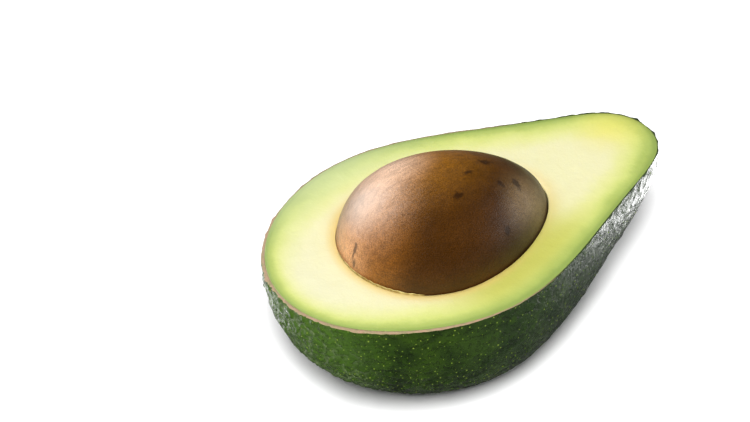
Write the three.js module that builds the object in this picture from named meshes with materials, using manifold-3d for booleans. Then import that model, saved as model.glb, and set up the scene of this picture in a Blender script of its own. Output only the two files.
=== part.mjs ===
// Half of an avocado with its stone, cut lengthwise and lying on its skin.
//
// Millimetres, +Z up. The origin is the centre of the small flat spot on which the half rests, +X points
// to the neck, and the cut face is level on top. Three solids: the thin skin, the flesh and the stone.
import * as THREE from "three";
import { mergeVertices } from "three/addons/utils/BufferGeometryUtils.js";
import Module from "manifold-3d";

const wasm = await Module();
wasm.setup();

// Driving dimensions of the fruit
const LENGTH = 105; // from the blossom end to the tip of the neck
const REST_FROM_BLOSSOM = 46.8; // the rest spot, which lies under the half's centre of mass
const REST_DEPTH = 37.5; // from the cut face down to the rest spot
const SKIN = 1.0; // thickness of the skin
const GAP = 0.3; // clearance between neighbouring solids

// The pear outline. With t running from 0 at the blossom end to PI at the neck, a point of the axis lies at
// LENGTH / 2 * (1 - cos t), and the outline there is sin t * (a0 + a1 cos t + a2 cos 2t + ...).
const HALF_WIDTH_TERMS = [31.04, 8.02, 0.28, -2.07, 1.25];
const DEPTH_TERMS = [37.21, 7.27, 1.25, 0.06, 1.7];
const BELLY_POWER = 2.3; // 2 would make each cross-section an ellipse, and more makes it fuller

// The stone: an egg whose blunt end points to the blossom end
const STONE_FROM_BLOSSOM = 45.2;
const STONE_ASIDE = -1.1; // its centre lies a little off the fruit's long axis
const STONE_BELOW_CUT = 2.4;
const STONE_RADII = new THREE.Vector3(26.4, 21.1, 19.1);
const STONE_TAPER = 0.19; // share by which its sections shrink from the middle to the pointed end
const STONE_TURN = THREE.MathUtils.degToRad(-0.7);

// The pebbled relief of the skin, larger than life, and the scar that the stem left at the neck's tip
const PEBBLE_HEIGHT = 0.46;
const PEBBLE_VARIATION = 0.45; // share by which one pebble's height may differ
const PEBBLE_BASE = -0.14; // the low places between the pebbles, so that the skin keeps its mean size
const PEBBLE_STRAY = 0.012; // how far a corner may stray over the unit ball
const SMOOTH_RADIUS = 9; // round the rest spot, the skin is smooth out to here
const PEBBLED_RADIUS = 14; // and fully pebbled from here on
const SCAR_REACH = 0.13; // distance from the tip, on the unit ball, at which the scar's rim stands
const SCAR_DEPTH = 0.8;
const SCAR_RIM_HEIGHT = 0.35;
const SCAR_RIM_WIDTH = 0.035;
const SEED = 41;

// Steps along each edge of the icosahedron that each surface starts from
const SKIN_STEPS = 24; // divisible by 3, so that the pebbles meet evenly
const SMOOTH_STEPS = 10;
const BALL_TURN = new THREE.Euler(0.31, 0.47, 0.23); // keeps corners of the net off the cut plane

const toPart = new THREE.Vector3(-REST_FROM_BLOSSOM, 0, REST_DEPTH); // from the blossom end on the cut

// Sum of a0 + a1 cos t + a2 cos 2t + ... at an angle t.
function cosineSum(terms, t) {
  return terms.reduce((sum, term, k) => sum + term * Math.cos(k * t), 0);
}

// A unit ball of nearly even triangles. Every third corner of its net is a peak, ringed by six low corners.
function evenBall(steps) {
  const faces = new THREE.IcosahedronGeometry(1, 0).getAttribute("position");
  const ball = { corners: [], peaks: [], triangles: [] };
  const known = new Map();
  for (let face = 0; face < faces.count; face += 3) {
    const ends = [0, 1, 2].map((k) => new THREE.Vector3().fromBufferAttribute(faces, face + k));
    const corner = (a, b) => {
      const point = new THREE.Vector3();
      [a, b, steps - a - b].forEach((share, k) => point.addScaledVector(ends[k], share));
      point.normalize().applyEuler(BALL_TURN);
      const key = point.toArray().map((v) => v.toFixed(5)).join();
      if (!known.has(key)) {
        known.set(key, ball.corners.length);
        ball.corners.push(point);
        ball.peaks.push((a - b + 3 * steps) % 3 === 0);
      }
      return known.get(key);
    };
    for (let a = 0; a < steps; a++) {
      for (let b = 0; b < steps - a; b++) {
        ball.triangles.push(corner(a, b), corner(a + 1, b), corner(a, b + 1));
        if (a + b < steps - 1) {
          ball.triangles.push(corner(a + 1, b), corner(a + 1, b + 1), corner(a, b + 1));
        }
      }
    }
  }
  return ball;
}

// A closed solid from a flat list of coordinates and the corner numbers of its triangles.
function closedSolid(coordinates, triangles) {
  return new wasm.Manifold(
    new wasm.Mesh({
      numProp: 3,
      vertProperties: new Float32Array(coordinates),
      triVerts: new Uint32Array(triangles),
    }),
  );
}

// A solid made from the ball's net, each corner placed by a rule.
function shapedBall(steps, place) {
  const ball = evenBall(steps);
  const points = ball.corners.map((corner, i) => place(corner, ball.peaks[i]));
  return closedSolid(points.flatMap((point) => point.toArray()), ball.triangles);
}

// The fruit's smooth surface in the direction of a unit vector.
function pearPoint(u) {
  const t = Math.acos(THREE.MathUtils.clamp(-u.x, -1, 1));
  const ring = Math.hypot(u.y, u.z) || 1;
  const powers = Math.abs(u.y / ring) ** BELLY_POWER + Math.abs(u.z / ring) ** BELLY_POWER;
  const fullness = powers ** (-1 / BELLY_POWER) || 1;
  return new THREE.Vector3(
    (LENGTH / 2) * (1 + u.x),
    u.y * fullness * cosineSum(HALF_WIDTH_TERMS, t),
    u.z * fullness * cosineSum(DEPTH_TERMS, t),
  ).add(toPart);
}

// The same surface moved along its outward normal.
function pearOffset(u, distance) {
  const step = 1e-3;
  const side = Math.abs(u.x) < 0.9 ? new THREE.Vector3(1, 0, 0) : new THREE.Vector3(0, 1, 0);
  const across = new THREE.Vector3().crossVectors(u, side).normalize();
  const along = new THREE.Vector3().crossVectors(across, u);
  const slope = (way) =>
    pearPoint(u.clone().addScaledVector(way, step).normalize()).sub(
      pearPoint(u.clone().addScaledVector(way, -step).normalize()),
    );
  const normal = slope(along).cross(slope(across)).normalize();
  return pearPoint(u).addScaledVector(normal, distance);
}

// Height of the skin over the smooth fruit: pebbles, none at the rest spot, and the stem's scar.
function relief(u, isPeak, random) {
  const place = pearPoint(u);
  const below = place.z < REST_DEPTH / 2;
  const away = below ? Math.hypot(place.x, place.y) : PEBBLED_RADIUS;
  const pebbled = THREE.MathUtils.smoothstep(away, SMOOTH_RADIUS, PEBBLED_RADIUS);
  const height = PEBBLE_HEIGHT * (1 + PEBBLE_VARIATION * (2 * random - 1));
  const pebble = pebbled * (PEBBLE_BASE + (isPeak ? height : 0));
  if (u.x < 0) return pebble;
  const reach = Math.hypot(u.y, u.z);
  const dimple = SCAR_DEPTH * (1 - THREE.MathUtils.smoothstep(reach, 0, SCAR_REACH));
  const rim = SCAR_RIM_HEIGHT * Math.exp(-(((reach - SCAR_REACH) / SCAR_RIM_WIDTH) ** 2));
  return pebble * THREE.MathUtils.smoothstep(reach, 0, 2 * SCAR_REACH) - dimple + rim;
}

// The outside of the skin, with its relief. The random draws start from SEED.
function pebbledPear() {
  THREE.MathUtils.seededRandom(SEED);
  const stray = () => PEBBLE_STRAY * (2 * THREE.MathUtils.seededRandom() - 1);
  return shapedBall(SKIN_STEPS, (corner, isPeak) => {
    const u = new THREE.Vector3(stray(), stray(), stray()).add(corner).normalize();
    return pearOffset(u, relief(u, isPeak, THREE.MathUtils.seededRandom()));
  });
}

// The fruit inside the skin, smooth, at a distance below the surface.
function smoothPear(depth) {
  return shapedBall(SMOOTH_STEPS, (corner) => pearOffset(corner, -depth));
}

// The stone, or with some clearance the hollow that it sits in.
function egg(clearance) {
  const radii = STONE_RADII.clone().addScalar(clearance);
  const centre = new THREE.Vector3(STONE_FROM_BLOSSOM, STONE_ASIDE, -STONE_BELOW_CUT).add(toPart);
  const upright = new THREE.Vector3(0, 0, 1);
  return shapedBall(SMOOTH_STEPS, (corner) => {
    const taper = 1 - STONE_TAPER * corner.x;
    const point = new THREE.Vector3(corner.x, corner.y * taper, corner.z * taper).multiply(radii);
    return point.applyAxisAngle(upright, STONE_TURN).add(centre);
  });
}

// Everything between the rest spot's plane and the cut face.
function slab() {
  const box = new THREE.BoxGeometry(2 * LENGTH, 2 * LENGTH, REST_DEPTH).translate(0, 0, REST_DEPTH / 2);
  box.deleteAttribute("normal");
  box.deleteAttribute("uv");
  const merged = mergeVertices(box);
  return closedSolid(merged.getAttribute("position").array, merged.index.array);
}

// A named, coloured mesh of a solid.
function meshOf(name, solid, look) {
  const { vertProperties, triVerts } = solid.getMesh();
  const geometry = new THREE.BufferGeometry();
  geometry.setAttribute("position", new THREE.BufferAttribute(vertProperties, 3));
  geometry.setIndex(new THREE.BufferAttribute(triVerts, 1));
  const mesh = new THREE.Mesh(geometry.toNonIndexed(), new THREE.MeshStandardMaterial(look));
  mesh.geometry.computeVertexNormals();
  mesh.name = name;
  return mesh;
}

const skin = pebbledPear().subtract(smoothPear(SKIN)).intersect(slab());
const flesh = smoothPear(SKIN + GAP).intersect(slab()).subtract(egg(GAP));

const avocado = new THREE.Group();
avocado.add(
  meshOf("skin", skin, { color: 0x2c4a22, roughness: 0.35, metalness: 0 }),
  meshOf("flesh", flesh, { color: 0xeaeaa6, roughness: 0.5, metalness: 0 }),
  meshOf("stone", egg(0), { color: 0x7a4a22, roughness: 0.45, metalness: 0 }),
);

export default avocado;
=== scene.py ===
# %% [markdown]
# Half of an avocado, cut lengthwise, with the stone left in it. This lesson dresses a finished CAD model:
# three plain solids called skin, flesh and stone, which already have the right size and place. Here each of
# them is replaced by a finer mesh of the same form, with the pebbles, specks and colours of the fruit.
# Blender works in metres, so a length given below in millimetres is multiplied by MM.

# %% Load the frame
import math

import bmesh
import bpy
import numpy as np
from mathutils import Euler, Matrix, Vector, noise


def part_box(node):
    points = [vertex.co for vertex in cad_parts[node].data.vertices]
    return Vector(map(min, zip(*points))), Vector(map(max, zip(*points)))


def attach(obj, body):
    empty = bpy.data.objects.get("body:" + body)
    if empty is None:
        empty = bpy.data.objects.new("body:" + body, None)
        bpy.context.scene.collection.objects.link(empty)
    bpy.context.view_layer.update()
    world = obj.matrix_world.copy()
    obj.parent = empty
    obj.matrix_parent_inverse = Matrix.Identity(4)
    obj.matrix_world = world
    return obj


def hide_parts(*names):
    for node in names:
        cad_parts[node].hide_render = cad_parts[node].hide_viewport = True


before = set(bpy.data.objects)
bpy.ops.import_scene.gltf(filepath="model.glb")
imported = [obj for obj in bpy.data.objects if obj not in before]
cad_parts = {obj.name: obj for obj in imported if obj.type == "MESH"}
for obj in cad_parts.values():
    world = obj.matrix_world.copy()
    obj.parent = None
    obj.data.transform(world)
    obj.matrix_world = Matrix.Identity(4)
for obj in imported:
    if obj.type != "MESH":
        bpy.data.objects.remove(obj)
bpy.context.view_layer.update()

MM = 0.001

# %% [markdown]
# Every piece needs the same pear, so its outline is written once. With u a unit vector that points from the
# middle of the fruit, a surface point lies at LENGTH / 2 * (1 + u.x) along the axis, and its distance from
# the axis is a sum of cosines. Such a sum gives a smooth outline with five numbers, where a drawn profile
# would need dozens of points. The cut face is the plane z = CUT.

# %% The fruit's own sizes
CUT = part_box("skin")[1][2]
LENGTH = 105 * MM
BLOSSOM_X = -46.8 * MM
HALF_WIDTH_TERMS = [31.04, 8.02, 0.28, -2.07, 1.25]
DEPTH_TERMS = [37.21, 7.27, 1.25, 0.06, 1.7]
BELLY_POWER = 2.3  # 2 would make each cross-section an ellipse, and more makes it fuller
print("cut face at", round(CUT / MM, 2), "mm, neck tip at", round((BLOSSOM_X + LENGTH) / MM, 1), "mm")


# %% [markdown]
# Geometry Nodes and shaders are both nets of small sums. Written node by node, each sum takes several lines,
# so these helpers add one node, feed it with numbers or with other nodes' outputs, and return an output.

# %% Helpers that add a node
def feed(tree, value, socket):
    """Puts a number, a vector, a material or another node's output into a socket."""
    if isinstance(value, bpy.types.NodeSocket):
        tree.links.new(value, socket)
    else:
        socket.default_value = value


def put(tree, kind, inputs, out=0, **settings):
    """Adds a node of a kind, with its settings and inputs, and returns one of its outputs."""
    node = tree.nodes.new(kind)
    for name, value in settings.items():
        setattr(node, name, value)
    for key, value in inputs.items():
        feed(tree, value, node.inputs[key])
    return node.outputs[out]


def calc(tree, operation, *terms):
    """One sum on numbers."""
    return put(tree, "ShaderNodeMath", dict(enumerate(terms)), operation=operation)


def plus(tree, total, *others):
    """Numbers added up."""
    for other in others:
        total = calc(tree, "ADD", total, other)
    return total


def times(tree, product, *others):
    """Numbers multiplied."""
    for other in others:
        product = calc(tree, "MULTIPLY", product, other)
    return product


def calc3(tree, operation, first, second=None):
    """One sum on vectors."""
    inputs = {0: first}
    if second is not None:
        inputs["Scale" if operation == "SCALE" else 1] = second
    out = "Value" if operation in ("LENGTH", "DISTANCE", "DOT_PRODUCT") else "Vector"
    return put(tree, "ShaderNodeVectorMath", inputs, out, operation=operation)


def vector(tree, x=0.0, y=0.0, z=0.0):
    """A vector from three numbers."""
    return put(tree, "ShaderNodeCombineXYZ", {0: x, 1: y, 2: z})


def parts_of(tree, value):
    """The x, y and z of a vector."""
    return put(tree, "ShaderNodeSeparateXYZ", {0: value}).node.outputs


def ease(tree, value, low, high, to_low=0.0, to_high=1.0):
    """Maps low..high smoothly to to_low..to_high and holds the ends."""
    span = {"Value": value, "From Min": low, "From Max": high, "To Min": to_low, "To Max": to_high}
    return put(tree, "ShaderNodeMapRange", span, interpolation_type="SMOOTHSTEP")


print("node helpers:", ", ".join(f.__name__ for f in (put, calc, plus, times, calc3, vector, ease)))


# %% [markdown]
# A net that is needed more than once becomes a group, with named inputs and outputs. Trees for shapes and
# trees for materials make their groups in the same way, so two helpers serve both.

# %% Helpers for node groups
def new_group(kind, name, inputs, outputs):
    """A node tree with named sockets, each given as (name, type, default), and the nodes at its two ends."""
    tree = bpy.data.node_groups.new(name, kind)
    for way, sockets in (("INPUT", inputs), ("OUTPUT", outputs)):
        for label, socket_type, *default in sockets:
            socket = tree.interface.new_socket(label, in_out=way, socket_type="NodeSocket" + socket_type)
            if default:
                socket.default_value = default[0]
    start = tree.nodes.new("NodeGroupInput")
    end = tree.nodes.new("NodeGroupOutput")
    return tree, start.outputs, end.inputs


def use(tree, group, inputs, out=0):
    """Places a node group in a tree and returns one of its outputs."""
    kind = "GeometryNodeGroup" if group.bl_idname == "GeometryNodeTree" else "ShaderNodeGroup"
    return put(tree, kind, inputs, out, node_tree=group)


print("group helpers:", new_group.__name__, "and", use.__name__)


# %% [markdown]
# First the finishes, because the pieces made below carry them. A finish here is a Principled shader whose
# colour, roughness and small relief change over the surface. Two effects come back again and again, so each
# is a group: mottle is soft cloudy patches, and soft spot fades evenly away from a centre. An image could
# paint all this too, but a rule stays sharp at any distance. The groups read the object's own coordinates in
# millimetres, so they keep their size on any piece.

# %% Effects that several finishes share
def millimetres(tree):
    """The object's own coordinates, as a vector in millimetres."""
    return calc3(tree, "SCALE", put(tree, "ShaderNodeTexCoord", {}, "Object"), 1 / MM)


def mottle_group():
    """Soft cloudy patches: noise whose range from low to high is spread over the range from 0 to 1."""
    tree, given, result = new_group(
        "ShaderNodeTree",
        "mottle",
        [("Patch size", "Float", 5.0), ("Low", "Float", 0.3), ("High", "Float", 0.7),
         ("Stretch", "Vector", (1, 1, 1))],
        [("Mask", "Float")],
    )
    reading = {"Vector": calc3(tree, "MULTIPLY", millimetres(tree), given["Stretch"]),
               "Scale": calc(tree, "DIVIDE", 1.0, given["Patch size"]), "Detail": 4.0}
    cloud = put(tree, "ShaderNodeTexNoise", reading, "Fac")
    feed(tree, ease(tree, cloud, given["Low"], given["High"]), result["Mask"])
    return tree


def soft_spot_group():
    """A round spot, full at its centre and gone at its radius."""
    tree, given, result = new_group(
        "ShaderNodeTree", "soft spot", [("Centre", "Vector"), ("Radius", "Float", 10.0)], [("Mask", "Float")]
    )
    apart = calc3(tree, "DISTANCE", millimetres(tree), given["Centre"])
    apart = calc(tree, "DIVIDE", apart, given["Radius"])
    feed(tree, ease(tree, apart, 0.0, 1.0, 1.0, 0.0), result["Mask"])
    return tree


mottle = mottle_group()
soft_spot = soft_spot_group()


def mottled(tree, size, low=0.3, high=0.7, stretch=(1, 1, 1)):
    """A mask of soft patches, of a size in millimetres."""
    return use(tree, mottle, {"Patch size": size, "Low": low, "High": high, "Stretch": stretch})


def spot(tree, centre, radius):
    """A mask that fades away from a centre, in millimetres."""
    return use(tree, soft_spot, {"Centre": centre, "Radius": radius})


print("groups:", mottle.name, "and", soft_spot.name)


# %% [markdown]
# Each finish is built up as a painter would: a ground colour first, and then one tint after another, each
# laid on where its masks say. A mask is a number from 0 to 1 at every point, and several masks multiplied
# leave only the place where all of them are high. A plain number among them says how strong the tint is.

# %% Helpers for finishes
def new_finish(name, roughness, specular=0.5):
    """A material with a Principled shader, its node tree and its shader's inputs."""
    material = bpy.data.materials.new(name)
    material.use_nodes = True
    tree = material.node_tree
    shader = next(node for node in tree.nodes if node.type == "BSDF_PRINCIPLED")
    shader.inputs["Specular IOR Level"].default_value = specular
    shader.inputs["Roughness"].default_value = roughness
    return material, tree, shader.inputs


def tint(tree, ground, other, *masks):
    """Blends a ground colour towards another. A plain colour is given as (red, green, blue)."""
    node = tree.nodes.new("ShaderNodeMix")
    node.data_type = "RGBA"
    for value, number in ((times(tree, *masks), 0), (ground, 6), (other, 7)):
        feed(tree, (*value, 1.0) if isinstance(value, tuple) else value, node.inputs[number])
    return node.outputs[2]


def attribute(tree, name, out="Fac"):
    """What the points of the mesh remember under a name."""
    return put(tree, "ShaderNodeAttribute", {}, out, attribute_name=name)


def relief(tree, inputs, height, distance, strength=1.0):
    """Feeds a height, in units of distance, into the shader's normal."""
    bump = {"Height": height, "Distance": distance, "Strength": strength}
    feed(tree, put(tree, "ShaderNodeBump", bump), inputs["Normal"])


def made(material):
    """Prints how large a finish is, and hands it on."""
    print(material.name, "has", len(material.node_tree.nodes), "nodes")
    return material


print("finish helpers:", ", ".join(f.__name__ for f in (new_finish, tint, attribute, relief, made)))


# %% [markdown]
# The outside of the skin is a dark green with a wax gloss, lighter right at the blossom end and turning
# grey towards the neck, where the grey is a painted reflection. It is a little yellower on top of each
# pebble. The pebbles are real shape, and each point of the mesh remembers how high it stands in the
# attribute pebble, which the colour reads. At the blossom end, a pale painted sheen lies in the grooves
# between the cells. It shows only where the skin is seen at a slant, which is what Layer Weight measures.
# The finest grain and the dull pits are left to a bump, because they are too small to be worth a mesh.

# %% Finish of the skin
DEEP_GREEN, BRIGHT_GREEN = (0.0086, 0.019, 0.003), (0.017, 0.036, 0.0034)
# greys that stand for a painted reflection on the skin towards the neck
DEEP_SHEEN_GREY, BRIGHT_SHEEN_GREY = (0.015, 0.026, 0.012), (0.026, 0.042, 0.017)
BLOSSOM_GREEN = (0.04, 0.088, 0.009)
PEBBLE_GREEN = (0.021, 0.046, 0.0043)
FRECKLE_GREEN = (0.045, 0.076, 0.0094)
# pale painted sheen in the grooves at the blossom end
GROOVE_SHEEN = (0.15, 0.2, 0.094)
GREY_FROM, GREY_TO = -30.0, 20.0  # places along the fruit, in millimetres
BLOSSOM_FROM, BLOSSOM_TO = -46.0, -30.0


def skin_finish():
    material, tree, inputs = new_finish("skin green", 0.26, 0.1)
    x, _, _ = parts_of(tree, millimetres(tree))
    clouds = mottled(tree, 6.0)
    green = tint(tree, DEEP_GREEN, BRIGHT_GREEN, clouds)
    # grey towards the neck: a painted reflection
    grey_sheen = tint(tree, DEEP_SHEEN_GREY, BRIGHT_SHEEN_GREY, clouds)
    green = tint(tree, green, grey_sheen, ease(tree, x, GREY_FROM, GREY_TO))
    green = tint(tree, green, BLOSSOM_GREEN, ease(tree, x, BLOSSOM_FROM, BLOSSOM_TO, 0.85, 0.0))
    high = ease(tree, attribute(tree, "pebble"), 0.25, 1.0)
    green = tint(tree, green, PEBBLE_GREEN, high, 0.5)
    freckles = mottled(tree, 0.55, 0.6, 0.72)
    green = tint(tree, green, FRECKLE_GREEN, freckles, 0.3)
    slanted = put(tree, "ShaderNodeLayerWeight", {"Blend": 0.5}, "Facing")
    # painted sheen in the grooves, only where the skin is seen at a slant
    green = tint(tree, green, GROOVE_SHEEN, attribute(tree, "groove"), ease(tree, slanted, 0.35, 0.75, 0.1, 1.0))
    feed(tree, green, inputs["Base Color"])
    pits = mottled(tree, 1.7, 0.52, 0.6)
    dull = ease(tree, mottled(tree, 2.5, 0.3, 0.75), 0.0, 1.0, 0.18, 0.3)
    feed(tree, calc(tree, "MULTIPLY_ADD", pits, 0.3, dull), inputs["Roughness"])
    grain = mottled(tree, 0.7, 0.2, 0.8)
    relief(tree, inputs, calc(tree, "MULTIPLY_ADD", pits, -2.5, grain), 0.09 * MM)
    return material


skin_green = made(skin_finish())


# %% [markdown]
# Where the knife went through the skin, the rim dries to a pinkish tan. That shows round the blossom end,
# where the skin is thick, and along the flank behind. Elsewhere it is thin, and its rim stays a dark olive.
# The share of tan near the blossom end is a sum of the x and y coordinates, which a dot product works out,
# with a few clouds to make it uneven. The flank behind has a share of its own. The larger of the two counts.

# %% Finish of the skin's cut rim
TAN, YELLOW_TAN = (0.341, 0.222, 0.148), (0.252, 0.207, 0.111)
OLIVE, PALE_OLIVE = (0.012, 0.022, 0.006), (0.037, 0.056, 0.013)
DRY_WAY = (-0.019, -0.007, 0.0)  # how the share of tan grows with each millimetre of x and y


def rim_finish():
    material, tree, inputs = new_finish("skin cut rim", 0.6, 0.2)
    place = millimetres(tree)
    x, y, _ = parts_of(tree, place)
    clouds = mottled(tree, 1.6)
    blossom = plus(tree, calc3(tree, "DOT_PRODUCT", place, DRY_WAY), times(tree, clouds, 0.1))
    behind = times(tree, ease(tree, y, 2.0, 14.0), ease(tree, x, 22.0, 40.0, 0.8, 0.0))
    dry = calc(tree, "MAXIMUM", ease(tree, blossom, 0.0, 0.4), behind)
    olive = tint(tree, OLIVE, PALE_OLIVE, clouds)
    feed(tree, tint(tree, olive, tint(tree, TAN, YELLOW_TAN, clouds), dry), inputs["Base Color"])
    relief(tree, inputs, mottled(tree, 0.5, 0.2, 0.8), 0.1 * MM)
    return material


rim_tan = made(rim_finish())


# %% [markdown]
# The small pale dots on the skin are its pores, which are corky and dull. Two shades of yellow green, mixed
# by slow clouds, keep them from looking printed.

# %% Finish of the specks
SPECK_GREEN, SPECK_YELLOW = (0.076, 0.14, 0.011), (0.17, 0.23, 0.03)


def speck_finish():
    material, tree, inputs = new_finish("pale speck", 0.5, 0.2)
    feed(tree, tint(tree, SPECK_GREEN, SPECK_YELLOW, mottled(tree, 3.0)), inputs["Base Color"])
    return material


speck_pale = made(speck_finish())


# %% [markdown]
# The flesh is lime green just inside the skin and turns to cream towards the stone. That change follows the
# cut outline and not a straight line, so each point of the mesh remembers how far it is from the skin and
# from the stone, in millimetres, in the attributes from_skin and from_stone. Fine fibres run in from the
# skin: they are cloudiness read at the nearest point of the rim, which is the attribute rim_point. Fruit
# ripens unevenly, so four soft spots make the shades follow each other faster or slower, and tints make one
# flank greener, the other flank and the blossom end paler, and the middle of the neck yellow. Beside the
# stone the flesh is warmer, and where it touched the stone it is stained darker: both are partly its own
# colour and partly painted shade where the stone meets it. A little subsurface scattering lets the light
# sink in, so that the flesh doesn't look like painted plaster.

# %% Finish of the flesh
OUTERMOST = (0.2, 0.267, 0.063)
SHADES = [  # depths under the skin, in millimetres, at which a shade begins and is full, and the shade
    (0.4, 1.5, (0.285, 0.352, 0.087)),
    (1.2, 4.2, (0.437, 0.481, 0.141)),
    (3.2, 7.2, (0.526, 0.533, 0.215)),
    (6.0, 12.0, (0.57, 0.548, 0.326)),
]
# x, y and radius in millimetres, and how fast the shades change outside the spot and at its centre
GREEN_FLANK = (7.0, -31.5, 38.0, 1.1, 0.6)
BLOSSOM_END = (-46.0, 0.0, 34.0, 1.0, 1.35)
NECK_END = (57.0, -5.0, 20.0, 1.0, 0.7)
BACK_FLANK = (-14.0, 36.0, 38.0, 1.0, 0.8)
# shades beside the stone, partly the flesh's colour and partly painted shade
WARM_CREAM, WARM_LIME = (0.57, 0.475, 0.235), (0.45, 0.42, 0.08)
LIME, PALE_CREAM, DULL_GREEN = (0.385, 0.38, 0.075), (0.54, 0.53, 0.37), (0.44, 0.49, 0.27)
# the second colour is a stain by the stone, partly painted contact shade
RIPE_YELLOW, STAIN_AND_SHADE = (0.578, 0.526, 0.104), (0.533, 0.385, 0.126)


def flesh_finish():
    material, tree, inputs = new_finish("cut flesh", 0.46, 0.3)
    depth, near_stone = attribute(tree, "from_skin"), attribute(tree, "from_stone")
    clouds = mottled(tree, 7.0, 0.25, 0.75)
    lifted = vector(tree, z=times(tree, depth, 0.35))
    fibre_place = calc3(tree, "ADD", attribute(tree, "rim_point", "Vector"), lifted)
    fibres = put(tree, "ShaderNodeTexNoise", {"Vector": fibre_place, "Scale": 1.3, "Detail": 2.0}, "Fac")
    sway = 0.0
    for part, reach in ((fibres, 1.2), (clouds, 1.4)):
        sway = plus(tree, sway, times(tree, calc(tree, "SUBTRACT", part, 0.5), reach))
    moved = plus(tree, depth, times(tree, sway, ease(tree, depth, 0.3, 3.0)))
    sides = []
    for x, y, radius, outside, centre in (GREEN_FLANK, BLOSSOM_END, NECK_END, BACK_FLANK):
        sides.append(spot(tree, (x, y, CUT / MM), radius))
        moved = times(tree, moved, ease(tree, sides[-1], 0.0, 1.0, outside, centre))
    green_flank, blossom_end, _, back_flank = sides
    colour = OUTERMOST
    for begin, full, shade in SHADES:
        colour = tint(tree, colour, shade, ease(tree, moved, begin, full))
    # warmer beside the stone: partly the flesh's colour, partly painted shade from the stone
    warm_and_shaded = tint(tree, WARM_CREAM, WARM_LIME, green_flank)
    colour = tint(tree, colour, warm_and_shaded, ease(tree, near_stone, 0.0, 5.0, 1.0, 0.0), 0.7)
    lime = ease(tree, depth, 1.0, 7.0, 0.0, 0.85)
    colour = tint(tree, colour, LIME, ease(tree, green_flank, 0.0, 0.8), lime)
    colour = tint(tree, colour, PALE_CREAM, blossom_end, ease(tree, depth, 1.5, 7.0, 0.0, 0.75))
    colour = tint(tree, colour, DULL_GREEN, back_flank, ease(tree, depth, 5.0, 10.0, 0.6, 0.0))
    colour = tint(tree, colour, RIPE_YELLOW, spot(tree, (50.0, 4.5, CUT / MM), 12.0), 0.6)
    x, _, _ = parts_of(tree, millimetres(tree))
    # stain where the flesh touched the stone, partly painted contact shade
    stain_and_contact_shade = ease(tree, near_stone, 0.0, 3.0, 0.75, 0.0)
    colour = tint(tree, colour, STAIN_AND_SHADE, stain_and_contact_shade, ease(tree, x, -8.0, 12.0, 1.0, 0.25))
    feed(tree, colour, inputs["Base Color"])
    feed(tree, ease(tree, mottled(tree, 3.0), 0.0, 1.0, 0.42, 0.56), inputs["Roughness"])
    inputs["Subsurface Weight"].default_value = 0.15
    inputs["Subsurface Radius"].default_value = (1.0, 0.8, 0.35)
    inputs["Subsurface Scale"].default_value = 1.5 * MM
    relief(tree, inputs, plus(tree, fibres, mottled(tree, 0.8, 0.1, 0.9)), 0.04 * MM, 0.6)
    return material


flesh_cream = made(flesh_finish())


# %% [markdown]
# A few blots stain the stone. A blot is a dark mark with a ragged edge, which a soft spot can't be. So it is
# the distance from a centre, made uneven by noise, and cut off where it grows too large. As there are eight
# of them, the blot is a group as well, and is placed once for each.

# %% The blot as a shader group
def blot_group():
    """A dark mark with a ragged edge."""
    tree, given, result = new_group(
        "ShaderNodeTree",
        "blot",
        [("Centre", "Vector"), ("Radius", "Float", 2.0), ("Stretch", "Vector", (1, 1, 1)),
         ("Raggedness", "Float", 2.2)],
        [("Mask", "Float")],
    )
    place = millimetres(tree)
    cloud = put(tree, "ShaderNodeTexNoise", {"Vector": place, "Scale": 0.8, "Detail": 4.0}, "Fac")
    apart = calc3(tree, "MULTIPLY", calc3(tree, "SUBTRACT", place, given["Centre"]), given["Stretch"])
    apart = calc(tree, "DIVIDE", calc3(tree, "LENGTH", apart), given["Radius"])
    ragged = times(tree, calc(tree, "SUBTRACT", cloud, 0.5), given["Raggedness"])
    feed(tree, ease(tree, plus(tree, apart, ragged), 0.3, 1.1, 1.0, 0.0), result["Mask"])
    return tree


blot = blot_group()
print("blot group:", len(blot.nodes), "nodes")


# %% [markdown]
# The stone is brown with a satin gloss. Its papery coat tints it orange at the blunt end, where the coat is
# thin, and pale where it has dried. The orange at the top is partly the coat's colour and partly painted
# light from above. Painted highlights lie on the pale patch and along the upper edge, painted light on the
# lower edge of the blunt end, and towards the point a brownish grey painted reflection and a dark painted
# shade. A fine speckle and faint veins cover all of it. Tinted spots and blots are short lists, because each
# has a place of its own.

# %% Finish of the stone
DARK_BROWN, BROWN, BLACK_BROWN = (0.038, 0.013, 0.001), (0.055, 0.019, 0.0018), (0.016, 0.006, 0.001)
VEIN_BROWN, BLOT_BROWN = (0.025, 0.009, 0.001), (0.010, 0.0037, 0.0015)
# the top orange is partly the coat's colour and partly painted light from above
TOP_ORANGE_AND_LIGHT, BLUNT_ORANGE = (0.60, 0.24, 0.014), (0.54, 0.19, 0.02)
BLUNT_WAY = (0.84, -0.54, -0.3)  # points away from the blunt end
BLUNT_FROM, BLUNT_TO = -40.5, -18.5  # millimetres that way, between which the orange fades
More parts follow.
